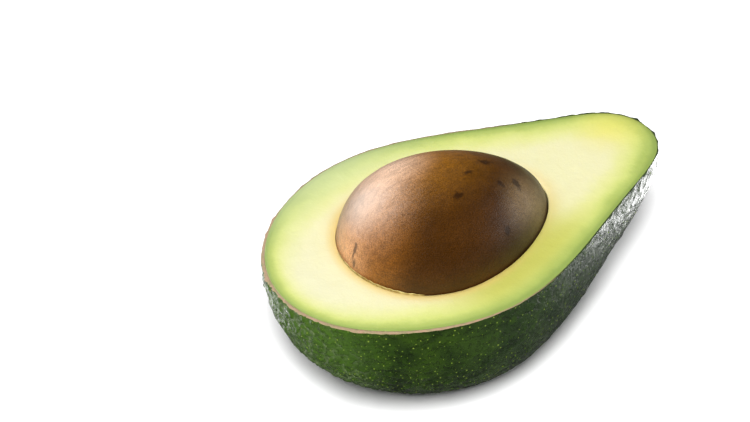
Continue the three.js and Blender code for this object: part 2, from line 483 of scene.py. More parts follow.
# a pale patch of dried coat, with a painted highlight on it
DRIED_AND_HIGHLIGHT = ((-20.0, 8.0, 48.0), 20.0)  # centre and radius in millimetres
TINTS_AND_PAINTED_LIGHT = [  # centre and radius in millimetres, colour, and share
    # pale dried coat under a painted highlight
    (*DRIED_AND_HIGHLIGHT, (0.41, 0.275, 0.18), 0.9),
    # painted highlight along the stone's upper edge
    ((-9.0, 10.0, 51.0), 13.0, (0.95, 0.62, 0.42), 1.0),
    # orange of the blunt end's lower edge, brightened as painted light
    ((-28.0, 3.0, 38.0), 11.0, (0.85, 0.42, 0.18), 1.0),
    # a brownish grey painted reflection towards the point
    ((15.0, -13.5, 43.0), 13.0, (0.36, 0.24, 0.10), 0.6),
    # painted shade on the lower side towards the point
    ((12.0, -23.0, 36.0), 18.0, (0.016, 0.0096, 0.0015), 0.85),
]
BLOTS = [  # centre, radius and stretch of the reading, in millimetres
    ((9.6, -1.4, 51.0), 2.2, (0.8, 1.5, 1.2)),
    ((3.1, -4.3, 53.0), 1.2, (0.7, 1.4, 1.2)),
    ((8.6, -8.7, 49.8), 1.4, (1.2, 1.0, 0.8)),
    ((13.0, -8.8, 47.5), 1.6, (1.0, 1.0, 0.9)),
    ((-3.6, -9.5, 52.8), 1.3, (0.8, 1.0, 1.0)),
    ((3.7, -18.0, 44.5), 1.1, (1.0, 1.0, 0.6)),
    ((-26.4, -0.3, 42.7), 1.5, (1.0, 2.4, 0.5)),
    ((-27.5, -1.2, 39.4), 1.2, (1.0, 1.6, 0.7)),
]


def stone_finish():
    material, tree, inputs = new_finish("stone brown", 0.42, 0.5)
    patches = mottled(tree, 8.0, stretch=(0.6, 1.0, 1.0))
    colour = tint(tree, DARK_BROWN, BROWN, patches)
    # lighter orange at the top, partly painted light from above
    colour = tint(tree, colour, TOP_ORANGE_AND_LIGHT, spot(tree, (-5.0, 17.0, 48.0), 32.0), 0.95)
    blunt = calc3(tree, "DOT_PRODUCT", millimetres(tree), BLUNT_WAY)
    blunt = plus(tree, blunt, times(tree, patches, 2.0))
    colour = tint(tree, colour, BLUNT_ORANGE, ease(tree, blunt, BLUNT_FROM, BLUNT_TO, 0.95, 0.0))
    # tints laid on one by one; most of them are painted light
    for centre, radius, shade, share in TINTS_AND_PAINTED_LIGHT:
        colour = tint(tree, colour, shade, spot(tree, centre, radius), share)
    veins = mottled(tree, 1.3, 0.4, stretch=(0.3, 1.0, 1.0))
    colour = tint(tree, colour, VEIN_BROWN, veins, 0.25)
    speckle = mottled(tree, 0.24, stretch=(0.6, 1.0, 1.0))
    # speckle fainter on the pale patch with its painted highlight
    colour = tint(tree, colour, BLACK_BROWN, speckle, ease(tree, spot(tree, *DRIED_AND_HIGHLIGHT), 0.0, 1.0, 0.6, 0.25))
    for centre, radius, stretch in BLOTS:
        mask = use(tree, blot, {"Centre": centre, "Radius": radius, "Stretch": stretch})
        colour = tint(tree, colour, BLOT_BROWN, mask, 0.7)
    feed(tree, colour, inputs["Base Color"])
    feed(tree, ease(tree, mottled(tree, 3.5), 0.0, 1.0, 0.39, 0.47), inputs["Roughness"])
    relief(tree, inputs, speckle, 0.03 * MM, 0.7)
    return material


stone_brown = made(stone_finish())


# %% [markdown]
# The papery coat of the stone is a dry, yellowish brown where a shred of it is left. It is cloudy like the
# rest, with smaller clouds.

# %% Finish of the seed coat
PAPER, DARK_PAPER = (0.50, 0.42, 0.17), (0.26, 0.17, 0.045)


def coat_finish():
    material, tree, inputs = new_finish("seed coat paper", 0.6, 0.2)
    feed(tree, tint(tree, PAPER, DARK_PAPER, mottled(tree, 1.2)), inputs["Base Color"])
    return material


coat_paper = made(coat_finish())


# %% [markdown]
# The skin's surface is a rule, so Geometry Nodes write it. The first group is the pear itself: a direction
# goes in and a point comes out. The cosines of 2t, 3t and 4t follow from cos t by plain products. The second
# group asks for the pear at four places close together and takes the cross product of their differences,
# which is the outward normal, so that the skin can be given a thickness and pebbles.

# %% The pear as node groups
NORMAL_STEP = 0.002  # how far to each side the pear is asked for its slope
LEVEL_FROM = (0.31, 0.83, 0.47)  # any way will do along which no point of a mesh lies exactly


def cosine_sum(tree, terms, cos_t):
    """a0 + a1 cos t + a2 cos 2t + ..., from cos t, in metres."""
    before, now = 1.0, cos_t
    total = terms[0] * MM
    for term in terms[1:]:
        total = calc(tree, "MULTIPLY_ADD", now, term * MM, total)
        before, now = now, calc(tree, "SUBTRACT", times(tree, cos_t, 2.0, now), before)
    return total


def pear_group():
    """The point of the fruit's smooth surface in a direction."""
    tree, given, result = new_group(
        "GeometryNodeTree",
        "pear surface",
        [("Direction", "Vector"), ("Length", "Float", LENGTH), ("Belly power", "Float", BELLY_POWER)],
        [("Point", "Vector")],
    )
    x, y, z = parts_of(tree, given["Direction"])
    ring = calc(tree, "MAXIMUM", calc3(tree, "LENGTH", vector(tree, 0.0, y, z)), 1e-6)
    shares = [calc(tree, "ABSOLUTE", calc(tree, "DIVIDE", side, ring)) for side in (y, z)]
    powers = [calc(tree, "POWER", share, given["Belly power"]) for share in shares]
    root = calc(tree, "DIVIDE", -1.0, given["Belly power"])
    fullness = calc(tree, "POWER", calc(tree, "MAXIMUM", plus(tree, *powers), 0.5), root)
    cos_t = times(tree, x, -1.0)
    across = times(tree, y, fullness, cosine_sum(tree, HALF_WIDTH_TERMS, cos_t))
    down = times(tree, z, fullness, cosine_sum(tree, DEPTH_TERMS, cos_t))
    along = times(tree, plus(tree, x, 1.0), times(tree, given["Length"], 0.5))
    point = calc3(tree, "ADD", vector(tree, along, across, down), (BLOSSOM_X, 0, CUT))
    feed(tree, point, result["Point"])
    return tree


def normal_group(pear):
    """The outward normal of that surface."""
    tree, given, result = new_group(
        "GeometryNodeTree", "pear normal", [("Direction", "Vector")], [("Normal", "Vector")]
    )
    u = given["Direction"]
    level = calc3(tree, "NORMALIZE", calc3(tree, "CROSS_PRODUCT", u, LEVEL_FROM))
    upward = calc3(tree, "CROSS_PRODUCT", level, u)
    slopes = []
    for way in (upward, level):
        ends = [calc3(tree, "ADD", u, calc3(tree, "SCALE", way, side * NORMAL_STEP)) for side in (1, -1)]
        slopes.append(calc3(tree, "SUBTRACT", *[use(tree, pear, {"Direction": end}) for end in ends]))
    feed(tree, calc3(tree, "NORMALIZE", calc3(tree, "CROSS_PRODUCT", *slopes)), result["Normal"])
    return tree


pear = pear_group()
pear_normal = normal_group(pear)
print("pear groups:", len(pear.nodes), "and", len(pear_normal.nodes), "nodes")


# %% [markdown]
# The relief of an avocado's skin has slow lumps, pebbles nearly three millimetres across, and a scar at the
# neck where the stem broke off. Pebbles are what a Voronoi texture measures: the distance to the nearest of
# many scattered points, which makes a dome round each point. The texture reads a place that is first pushed
# about by noise, because pebbles in a neat row look like golf-ball dimples. The pebbles are bold at both
# ends and faint on the belly. At the blossom end a second Voronoi texture, which measures the distance to
# the border between cells, cuts grooves that part the skin into larger cells.

# %% The relief of the skin as a node group
RELIEF_SIZES = {"Pebble size": 2.7, "Pebble height": 0.34, "Lump height": 0.4, "Seed": 7.0}  # sizes in mm
RELIEF_INPUTS = [(name, "Float", size) for name, size in RELIEF_SIZES.items()]
PUSH_REACH = 2.4  # millimetres between the farthest pushes to either side
DOME_LEVEL = 0.55  # share of a dome that lies below the smooth pear, so that the skin keeps its mean size
CRACKED_WAY = (-0.96, 0.0, -0.28)  # the direction round which the grooves lie
CELLS_PER_MM = 0.34
GROOVE_DEPTH, FINE_HEIGHT = 0.4, 0.2  # in millimetres, as the next two are
SCAR_DEPTH, SCAR_RIM_HEIGHT = 0.3, 0.3
SCAR_REACH = 0.13  # from the tip of the neck to the scar's rim, on a ball of radius 1


def relief_group():
    """How high the skin stands above the smooth pear, and how much of that is pebble and groove."""
    tree, given, result = new_group(
        "GeometryNodeTree",
        "skin relief",
        [("Point", "Vector"), ("Direction", "Vector"), *RELIEF_INPUTS],
        [("Height", "Float"), ("Pebble", "Float"), ("Groove", "Float")],
    )
    place = calc3(tree, "SCALE", given["Point"], 1 / MM)
    push = put(tree, "ShaderNodeTexNoise", {"Vector": place, "Scale": 0.45, "Detail": 1.0}, "Color")
    push = calc3(tree, "SCALE", calc3(tree, "SUBTRACT", push, (0.5, 0.5, 0.5)), PUSH_REACH)
    reading = {"Vector": calc3(tree, "ADD", place, push), "W": given["Seed"]}
    domes = {**reading, "Scale": calc(tree, "DIVIDE", 1.0, given["Pebble size"]), "Smoothness": 0.3}
    apart = put(tree, "ShaderNodeTexVoronoi", domes, "Distance",
                voronoi_dimensions="4D", feature="SMOOTH_F1")
    dome = ease(tree, apart, 0.1, 0.75, 1.0, 0.0)
    to_edge = put(tree, "ShaderNodeTexVoronoi", {**reading, "Scale": CELLS_PER_MM}, "Distance",
                  voronoi_dimensions="4D", feature="DISTANCE_TO_EDGE")
    cracked = ease(tree, calc3(tree, "DOT_PRODUCT", given["Direction"], CRACKED_WAY), 0.8, 0.98)
    groove = times(tree, ease(tree, to_edge, 0.02, 0.09, 1.0, 0.0), cracked)
    lumps = put(tree, "ShaderNodeTexNoise", {"Vector": place, "Scale": 0.13, "Detail": 2.0}, "Fac")
    fine = put(tree, "ShaderNodeTexNoise", {"Vector": place, "Scale": 0.8, "Detail": 2.0}, "Fac")
    x, y, z = parts_of(tree, given["Direction"])
    reach = calc3(tree, "LENGTH", vector(tree, ease(tree, x, 0.0, 0.2, 1.0, 0.0), y, z))
    bold = times(tree, given["Pebble height"], ease(tree, reach, 0.02, 0.2),
                 ease(tree, x, -0.95, -0.3, 1.3, 0.5), ease(tree, x, 0.2, 0.8, 1.0, 2.0))
    pebble = times(tree, calc(tree, "SUBTRACT", dome, DOME_LEVEL), bold)
    lump = times(tree, calc(tree, "SUBTRACT", lumps, 0.5), given["Lump height"])
    height = plus(tree, pebble, lump)
    height = calc(tree, "MULTIPLY_ADD", calc(tree, "SUBTRACT", fine, 0.5), FINE_HEIGHT, height)
    scar = ease(tree, reach, 0.0, SCAR_REACH, SCAR_DEPTH, 0.0)
    rim = times(tree, ease(tree, reach, 0.08, SCAR_REACH), ease(tree, reach, SCAR_REACH, 0.19, 1.0, 0.0))
    height = plus(tree, calc(tree, "SUBTRACT", height, scar), times(tree, rim, SCAR_RIM_HEIGHT))
    height = calc(tree, "MULTIPLY_ADD", groove, -GROOVE_DEPTH, height)
    feed(tree, times(tree, height, MM), result["Height"])
    feed(tree, groove, result["Groove"])
    feed(tree, dome, result["Pebble"])
    return tree


skin_relief = relief_group()
print("relief group:", len(skin_relief.nodes), "nodes")


# %% [markdown]
# An object gets its shape from a tree through a modifier. The shape isn't in the object's own mesh until it
# is evaluated and copied, which this helper does, so that the piece ends as a plain mesh.

# %% From a node tree to a plain mesh
def grow(name, mesh, tree, sizes):
    """An object made by a Geometry Nodes tree, with its named inputs set, and then kept as a plain mesh."""
    obj = bpy.data.objects.new(name, mesh)
    bpy.context.scene.collection.objects.link(obj)
    modifier = obj.modifiers.new(tree.name, "NODES")
    modifier.node_group = tree
    for label, value in sizes.items():
        modifier[tree.interface.items_tree[label].identifier] = value
    obj.update_tag()
    evaluated = obj.evaluated_get(bpy.context.evaluated_depsgraph_get())
    result = bpy.data.meshes.new_from_object(evaluated)
    result.name = name
    obj.modifiers.clear()
    obj.data = result
    print(name, "has", len(result.polygons), "faces")
    return obj


def kept_value(tree, name):
    """A named value that the points of a mesh carry, read in a tree for shapes."""
    return put(tree, "GeometryNodeInputNamedAttribute", {"Name": name}, "Attribute")


print("mesh helpers:", grow.__name__, "and", kept_value.__name__)


# %% [markdown]
# The skin is one closed shell made from one flat grid. Its columns run round the fruit. Its rows start under
# the belly, climb the outside to the cut, cross the thickness of the rim and go down the inside again, so
# the outside can have fine rows and the hidden inside only a few. Merging what lies in one place closes the
# seam and both ends. The row under the belly is pressed flat, because the half rests there.

# %% Rows of the skin
OUTSIDE_ROWS, RIM_ROWS, INSIDE_ROWS = 146, 4, 8
COLUMNS = 600


def skin_grid(tree, columns):
    """A flat grid, the number of each point's row, and the direction in which the point will lie."""
    grid = tree.nodes.new("GeometryNodeMeshGrid")
    rows = OUTSIDE_ROWS + RIM_ROWS + INSIDE_ROWS
    feed(tree, plus(tree, columns, 1.0), grid.inputs["Vertices X"])
    feed(tree, rows + 1, grid.inputs["Vertices Y"])
    u, v, _ = parts_of(tree, grid.outputs["UV Map"])
    row = calc(tree, "ROUND", times(tree, v, float(rows)))
    climb = calc(tree, "SUBTRACT", 1.0, calc(tree, "DIVIDE", row, float(OUTSIDE_ROWS)))
    past_rim = calc(tree, "SUBTRACT", row, float(OUTSIDE_ROWS + RIM_ROWS))
    descend = calc(tree, "DIVIDE", past_rim, float(INSIDE_ROWS))
    below = calc(tree, "MAXIMUM", calc(tree, "MAXIMUM", climb, descend), 0.0)
    tilt = times(tree, below, -math.pi / 2)
    turn = times(tree, u, 2 * math.pi)
    level = calc(tree, "COSINE", tilt)
    ahead = times(tree, level, calc(tree, "COSINE", turn))
    aside = times(tree, level, calc(tree, "SINE", turn))
    return grid.outputs["Mesh"], row, vector(tree, ahead, aside, calc(tree, "SINE", tilt))


print("the skin has", COLUMNS, "columns and", OUTSIDE_ROWS + RIM_ROWS + INSIDE_ROWS, "rows")


# %% [markdown]
# Each point of the grid then gets its place: the pear's point in its direction, moved out along the normal
# by the relief, or in by the skin's thickness once its row has crossed the rim. The points remember pebble,
# groove and how far inward they lie, which the finishes and the specks read. The rim gets its own finish.

# %% Grow the skin
THICK_SKIN, THIN_SKIN = 1.15 * MM, 0.35 * MM
THICK_WAY = (-0.966, -0.259, 0.0)  # the side of the blossom end on which the skin is thickest
THICK_AT, THIN_AT = 0.95, 0.35  # how far a direction leans that way where the skin is thick, and thin
INSIDE_FLOOR = 0.3 * MM  # the inside comes no lower than this


def skin_tree():
    """The pebbled skin with its two finishes."""
    tree, given, result = new_group(
        "GeometryNodeTree",
        "pebbled skin",
        [("Columns", "Int", COLUMNS), ("Thickest skin", "Float", THICK_SKIN),
         ("Thinnest skin", "Float", THIN_SKIN), *RELIEF_INPUTS],
        [("Geometry", "Geometry")],
    )
    geometry, row, direction = skin_grid(tree, given["Columns"])
    point = use(tree, pear, {"Direction": direction})
    normal = use(tree, pear_normal, {"Direction": direction})
    sizes = {name: given[name] for name in RELIEF_SIZES}
    height = use(tree, skin_relief, {"Point": point, "Direction": direction, **sizes}, "Height")
    pebble, groove = height.node.outputs["Pebble"], height.node.outputs["Groove"]
    inward = calc(tree, "DIVIDE", calc(tree, "SUBTRACT", row, float(OUTSIDE_ROWS)), float(RIM_ROWS))
    inward = calc(tree, "MINIMUM", calc(tree, "MAXIMUM", inward, 0.0), 1.0)
    lean = calc3(tree, "DOT_PRODUCT", direction, THICK_WAY)
    thickness = ease(tree, lean, THIN_AT, THICK_AT, given["Thinnest skin"], given["Thickest skin"])
    outer = times(tree, height, calc(tree, "SUBTRACT", 1.0, inward))
    offset = calc(tree, "SUBTRACT", outer, times(tree, thickness, inward))
    x, y, z = parts_of(tree, calc3(tree, "ADD", point, calc3(tree, "SCALE", normal, offset)))
    place = vector(tree, x, y, calc(tree, "MAXIMUM", z, times(tree, inward, INSIDE_FLOOR)))
    geometry = put(tree, "GeometryNodeSetPosition", {"Geometry": geometry, "Position": place})
    for name, value in (("pebble", pebble), ("groove", groove), ("inward", inward)):
        geometry = put(tree, "GeometryNodeStoreNamedAttribute",
                       {"Geometry": geometry, "Name": name, "Value": value})
    geometry = put(tree, "GeometryNodeMergeByDistance", {"Geometry": geometry, "Distance": 1e-6})
    geometry = put(tree, "GeometryNodeSetMaterial", {"Geometry": geometry, "Material": skin_green})
    on_rim = calc(tree, "GREATER_THAN", kept_value(tree, "inward"), 0.05)
    geometry = put(tree, "GeometryNodeSetMaterial",
                   {"Geometry": geometry, "Selection": on_rim, "Material": rim_tan})
    geometry = put(tree, "GeometryNodeRealizeInstances", {"Geometry": geometry})
    feed(tree, geometry, result["Geometry"])
    return tree


rind = grow("rind", bpy.data.meshes.new("rind start"), skin_tree(), {"Columns": COLUMNS, **RELIEF_SIZES})
rind.data.shade_smooth()
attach(rind, "root")
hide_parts("skin")

# %% [markdown]
# The specks are scattered by Geometry Nodes: points that keep their distance from each other, a flattened
# ball on each, turned to the surface and sunk into it by half. Each ball has only twenty faces, because
# there are some sixteen hundred of them and each is smaller than half a millimetre. They are the skin's
# pores, densest at the blossom end. Drawn as spots in the material, they would have no edge to catch light.

# %% Scatter the specks
SPECK_SIZES = {"Spacing": 1.2 * MM, "Speck radius": 0.18 * MM, "Thickness": 0.35}
SPECK_SEED = 5
SPECKS_PER_M2 = 700000.0  # at most, where they lie densest
DENSE_TO, SPARSE_FROM = -25.0 * MM, 35.0 * MM  # places along the fruit
SPARSE_SHARE = 0.35
SMALLEST, LARGEST = 0.4, 1.3  # times the speck radius
BARE_BELOW, BARE_RIM = 2.0 * MM, 0.4 * MM  # no specks at the rest spot, nor so close to the cut


def speck_tree():
    """Flattened balls on the outside of the skin."""
    tree, given, result = new_group(
        "GeometryNodeTree",
        "specks",
        [("Skin", "Geometry"), *[(name, "Float", size) for name, size in SPECK_SIZES.items()],
         ("Seed", "Int", SPECK_SEED)],
        [("Geometry", "Geometry")],
    )
    x, _, z = parts_of(tree, put(tree, "GeometryNodeInputPosition", {}))
    plenty = ease(tree, x, DENSE_TO, SPARSE_FROM, 1.0, SPARSE_SHARE)
    above = calc(tree, "GREATER_THAN", z, BARE_BELOW)
    outside = calc(tree, "LESS_THAN", kept_value(tree, "inward"), 0.01)
    below_rim = calc(tree, "LESS_THAN", z, CUT - BARE_RIM)
    scattering = {"Mesh": given["Skin"], "Selection": times(tree, above, outside, below_rim),
                  "Distance Min": given["Spacing"], "Density Max": SPECKS_PER_M2,
                  "Density Factor": plenty, "Seed": given["Seed"]}
    points = put(tree, "GeometryNodeDistributePointsOnFaces", scattering, "Points",
                 distribute_method="POISSON")
    ball = put(tree, "GeometryNodeMeshIcoSphere",
               {"Radius": given["Speck radius"], "Subdivisions": 1}, "Mesh")
    size = put(tree, "FunctionNodeRandomValue", {2: SMALLEST, 3: LARGEST, "Seed": given["Seed"]}, 1)
    flat = vector(tree, size, size, times(tree, size, given["Thickness"]))
    spots = put(tree, "GeometryNodeInstanceOnPoints",
                {"Points": points, "Instance": ball, "Rotation": points.node.outputs["Rotation"],
                 "Scale": flat})
    spots = put(tree, "GeometryNodeRealizeInstances", {"Geometry": spots})
    spots = put(tree, "GeometryNodeSetShadeSmooth", {"Geometry": spots})
    spots = put(tree, "GeometryNodeSetMaterial", {"Geometry": spots, "Material": speck_pale})
    feed(tree, spots, result["Geometry"])
    return tree


specks = grow("specks", rind.data.copy(), speck_tree(), {**SPECK_SIZES, "Seed": SPECK_SEED})
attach(specks, "root")


# %% [markdown]
# The flesh and the stone are made with numpy, as stacks of rings. The same pear is written here as a
# function of arrays. A sum of cosines is a Chebyshev series, which numpy already knows.

# %% The pear for arrays
def pear_points(u):
    """Points of the fruit's smooth surface, for directions in an array."""
    x, y, z = u[..., 0], u[..., 1], u[..., 2]
    ring = np.maximum(np.hypot(y, z), 1e-9)
    powers = np.abs(y / ring) ** BELLY_POWER + np.abs(z / ring) ** BELLY_POWER
    fullness = np.maximum(powers, 0.5) ** (-1 / BELLY_POWER)
    across = y * fullness * np.polynomial.chebyshev.chebval(-x, HALF_WIDTH_TERMS) * MM
    down = z * fullness * np.polynomial.chebyshev.chebval(-x, DEPTH_TERMS) * MM
    return np.stack([LENGTH / 2 * (1 + x) + BLOSSOM_X, across, down + CUT], -1)


def pear_inside(u, depth):
    """Points at a depth under that surface."""
    level = np.cross(u, LEVEL_FROM)
    level /= np.linalg.norm(level, axis=-1, keepdims=True)
    upward = np.cross(level, u)
    slopes = [pear_points(u + way * NORMAL_STEP) - pear_points(u - way * NORMAL_STEP)
              for way in (upward, level)]
    normal = np.cross(*slopes)
    normal /= np.linalg.norm(normal, axis=-1, keepdims=True)
    return pear_points(u) - normal * np.asarray(depth)[..., None]


def ball_direction(turn, tilt):
    """Unit vectors from an angle round the upright axis and an angle above the level."""
    turn, tilt = np.broadcast_arrays(turn, tilt)
    return np.stack([np.cos(tilt) * np.cos(turn), np.cos(tilt) * np.sin(turn), np.sin(tilt)], -1)


def skin_depth(u):
    """How thick the skin is in a direction."""
    share = np.clip((u @ THICK_WAY - THIN_AT) / (THICK_AT - THIN_AT), 0, 1)
    share = share * share * (3 - 2 * share)
    return THIN_SKIN + share * (THICK_SKIN - THIN_SKIN)


outline = pear_points(ball_direction(np.linspace(0, 2 * math.pi, 400), 0.0))
print("the cut face is", np.round(np.ptp(outline[:, :2], axis=0) / MM, 1), "mm long and wide")


# %% [markdown]
# Each ring is a row of points round the piece, and neighbouring rings are joined by faces. Merging the
# points that lie in one place closes the two ends. No grown thing is quite even, so a second helper gives
# smooth random heights, which depend on the place alone and are the same each time.

# %% Meshes from rings of points
def mesh_of_rings(name, rings, values, finish):
    """A smooth closed mesh from rings (row, column, xyz), with named values kept at its points."""
    rows, columns = rings.shape[:2]
    mesh = bpy.data.meshes.new(name)
    first = np.arange(rows - 1)[:, None] * columns + np.arange(columns)[None, :]
    after = np.arange(rows - 1)[:, None] * columns + (np.arange(columns)[None, :] + 1) % columns
    faces = np.stack([first, after, after + columns, first + columns], -1).reshape(-1, 4)
    mesh.from_pydata(rings.reshape(-1, 3).tolist(), [], faces.tolist())
    for label, value in values.items():
        kind, key = ("FLOAT_VECTOR", "vector") if value.ndim == 3 else ("FLOAT", "value")
        kept = mesh.attributes.new(label, kind, "POINT")
        kept.data.foreach_set(key, np.ascontiguousarray(value, dtype=np.float32).ravel())
    work = bmesh.new()
    work.from_mesh(mesh)
    bmesh.ops.remove_doubles(work, verts=work.verts, dist=1e-7)
    bmesh.ops.recalc_face_normals(work, faces=work.faces)
    work.to_mesh(mesh)
    work.free()
    mesh.shade_smooth()
    mesh.materials.append(finish)
    obj = bpy.data.objects.new(name, mesh)
    bpy.context.scene.collection.objects.link(obj)
    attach(obj, "root")
    print(name, "has", len(mesh.polygons), "faces")
    return obj


def roughness_at(points, size, octaves=3):
    """Smooth random heights from about -1 to 1 at each point, for patches of a size in millimetres."""
    flat = points.reshape(-1, 3) / (size * MM)
    heights = [noise.fractal(Vector(point), 0.9, 2.1, octaves) for point in flat]
    return np.array(heights).reshape(points.shape[:-1])


trial = roughness_at(outline, 9.0)
print("random heights round the cut: from", round(trial.min(), 2), "to", round(trial.max(), 2))


# %% [markdown]
# The stone is an egg: a ball stretched to three radii, whose sections shrink evenly towards one end. Its
# middle lies a little under the cut, so the flesh still grips it. The hollow in the flesh is the same egg,
# a hair larger, and the mouth of the hollow is where that egg passes the cut.

# %% The stone's form
STONE_CENTRE = np.array([-1.6, -1.1, CUT / MM - 2.4]) * MM
STONE_RADII = np.array([26.4, 21.1, 19.1]) * MM
STONE_TAPER = 0.19  # share by which its sections shrink from the middle to the pointed end


def egg_points(u, clearance=0.0):
    """Points of the stone's surface, or of one at some clearance from it, for directions in an array."""
    taper = 1 - STONE_TAPER * u[..., :1]
    stretch = np.concatenate([np.ones_like(taper), taper, taper], -1)
    return STONE_CENTRE + u * stretch * (STONE_RADII + clearance)


def mouth_directions(turn, clearance):
    """Directions in which the egg meets the cut face, for angles round it."""
    lift = (CUT - STONE_CENTRE[2]) / (STONE_RADII[2] + clearance)
    tilt = np.zeros_like(turn)
    for _ in range(4):  # each round comes closer, because the taper changes slowly with the tilt
        tilt = np.arcsin(lift / (1 - STONE_TAPER * np.cos(tilt) * np.cos(turn)))
    return turn, tilt


# %% [markdown]
# The rings of the stone run from end to end, so that its two poles are hidden in the hollow. Its coat has
# shallow dents and a fine wrinkle, pushed in or out along the surface by random heights. The egg starts a
# little smaller, so that no height takes it past the CAD stone.

# %% Make the stone
STONE_INSET = 0.12 * MM
DENT_HEIGHT, WRINKLE_HEIGHT = 0.08, 0.012  # in millimetres


def make_stone(rings=170, columns=300):
    along = np.linspace(0, math.pi, rings)[:, None]
    around = np.linspace(0, 2 * math.pi, columns, endpoint=False)[None, :]
    u = np.stack(np.broadcast_arrays(-np.cos(along), np.sin(along) * np.cos(around),
                                     np.sin(along) * np.sin(around)), -1)
    points = egg_points(u, -STONE_INSET)
    dents = DENT_HEIGHT * roughness_at(points * (0.6, 1, 1), 10.0)
    wrinkles = WRINKLE_HEIGHT * roughness_at(points * (0.5, 1, 1), 1.3)
    return mesh_of_rings("seed", points + u * ((dents + wrinkles) * MM)[..., None], {}, stone_brown)


seed = make_stone()
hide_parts("stone")

# %% [markdown]
# The flesh is one closed stack of rings too: up the outside against the skin, over a small rounded edge,
# across the cut face to the mouth of the hollow, and down the hollow. Its colour needs each point's distance
# from the skin and from the stone, so a helper looks for the nearest point of a ring.

# %% Distances on the cut face
def nearest(points, ring):
    """For each point, its distance to the nearest point of a ring and that point's number."""
    flat = points.reshape(-1, 2)
    blocks = np.array_split(flat, 60)  # all at once would need too much memory
    index = np.concatenate([((block[:, None] - ring) ** 2).sum(-1).argmin(1) for block in blocks])
    return np.linalg.norm(flat - ring[index], axis=1).reshape(points.shape[:-1]), index


above_rest_spot, _ = nearest(np.zeros((1, 2)), outline[:, :2])
print("from above the rest spot to the rim of the cut:", round(above_rest_spot[0] / MM, 1), "mm")


# %% [markdown]
# The cut face isn't a perfect plane: a knife leaves shallow waves, and the flesh sinks a little beside the
# stone and at the skin. The stone has shrunk away on one side, which leaves a fine dark line there, so the
# hollow's clearance changes round its mouth and evens out towards the bottom.

# %% Make the flesh
WALL_ROWS, FACE_ROWS, HOLLOW_ROWS = 24, 90, 24
WALL_GAP, BOTTOM_GAP = 0.02 * MM, 0.1 * MM  # to the skin, and to the stone at the bottom of the hollow
FLESH_FLOOR = 0.5 * MM  # the flesh comes no lower than this
SLACK_WAY = math.radians(-45)  # the side on which the stone has shrunk away
LEAST_GAP, SLACK = 0.02, 0.3  # millimetres at the mouth, and how many more on the slack side
WAVE_HEIGHT, RIPPLE_HEIGHT, HIGHEST_WAVE = 0.07, 0.02, 0.1  # millimetres
SUNK_AT_STONE, SUNK_AT_SKIN = 0.18, 0.1  # millimetres


def make_flesh(columns=480):
    turn = np.linspace(0, 2 * math.pi, columns, endpoint=False)[None, :]
    tilts = np.linspace(-math.pi / 2, 0, WALL_ROWS)[:, None]
    u = ball_direction(turn, tilts)
    wall = pear_inside(u, skin_depth(u) + WALL_GAP)
    wall[..., 2] = np.maximum(wall[..., 2], FLESH_FLOOR)
    slack = (LEAST_GAP + SLACK * np.clip(np.cos(turn[0] - SLACK_WAY), 0, 1)[:, None]) * MM
    _, low = mouth_directions(turn[0], slack[:, 0])
    mouth = egg_points(ball_direction(turn[0], low), slack)
    share = np.linspace(0, 1, FACE_ROWS)[1:, None, None]
    face = wall[-1] * (1 - share) + mouth * share
    rim = wall[-1, :, :2] / MM
    from_skin, index = nearest(face[..., :2] / MM, rim)
    from_stone, _ = nearest(face[..., :2] / MM, mouth[:, :2] / MM)
    waves = WAVE_HEIGHT * roughness_at(face, 9.0) + RIPPLE_HEIGHT * roughness_at(face, 2.0)
    sink = (SUNK_AT_STONE * np.exp(-((from_stone / 0.5) ** 2))
            + SUNK_AT_SKIN * np.exp(-((from_skin / 0.35) ** 2)))
    face[..., 2] = CUT + (np.minimum(waves, HIGHEST_WAVE) - sink) * MM
    rim_point = np.concatenate([rim[index].reshape(*face.shape[:2], 2), np.zeros(face.shape[:2] + (1,))], -1)
    fall = np.linspace(0, 1, HOLLOW_ROWS + 1)[1:, None]
    gap = slack * (1 - fall[..., None]) + BOTTOM_GAP * fall[..., None]
    hollow = egg_points(ball_direction(turn, low * (1 - fall) - math.pi / 2 * fall), gap)
    pad = ((WALL_ROWS, HOLLOW_ROWS), (0, 0))
    values = {
        "from_skin": np.pad(from_skin, pad, mode="edge"),
        "from_stone": np.pad(from_stone, pad, mode="edge"),
        "rim_point": np.pad(rim_point, (*pad, (0, 0)), mode="edge"),
    }
    return mesh_of_rings("pulp", np.concatenate([wall, face, hollow]), values, flesh_cream)


pulp = make_flesh()
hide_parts("flesh")

# %% [markdown]
# When the halves were pulled apart, a shred of the stone's papery coat stayed against the flesh. It is a
# strip that follows the mouth of the hollow and stands up by a fraction of a millimetre, ragged on top. The
# Solidify modifier gives the paper its thickness.

# %% The shred of seed coat
COAT_FROM, COAT_TO = math.radians(163), math.radians(226)
COAT_HEIGHT = 0.6  # millimetres above the cut in its middle, before it is made ragged
COAT_LEAN = 0.12 * MM  # how far its top leans outwards
PAPER_THICKNESS = 0.12 * MM


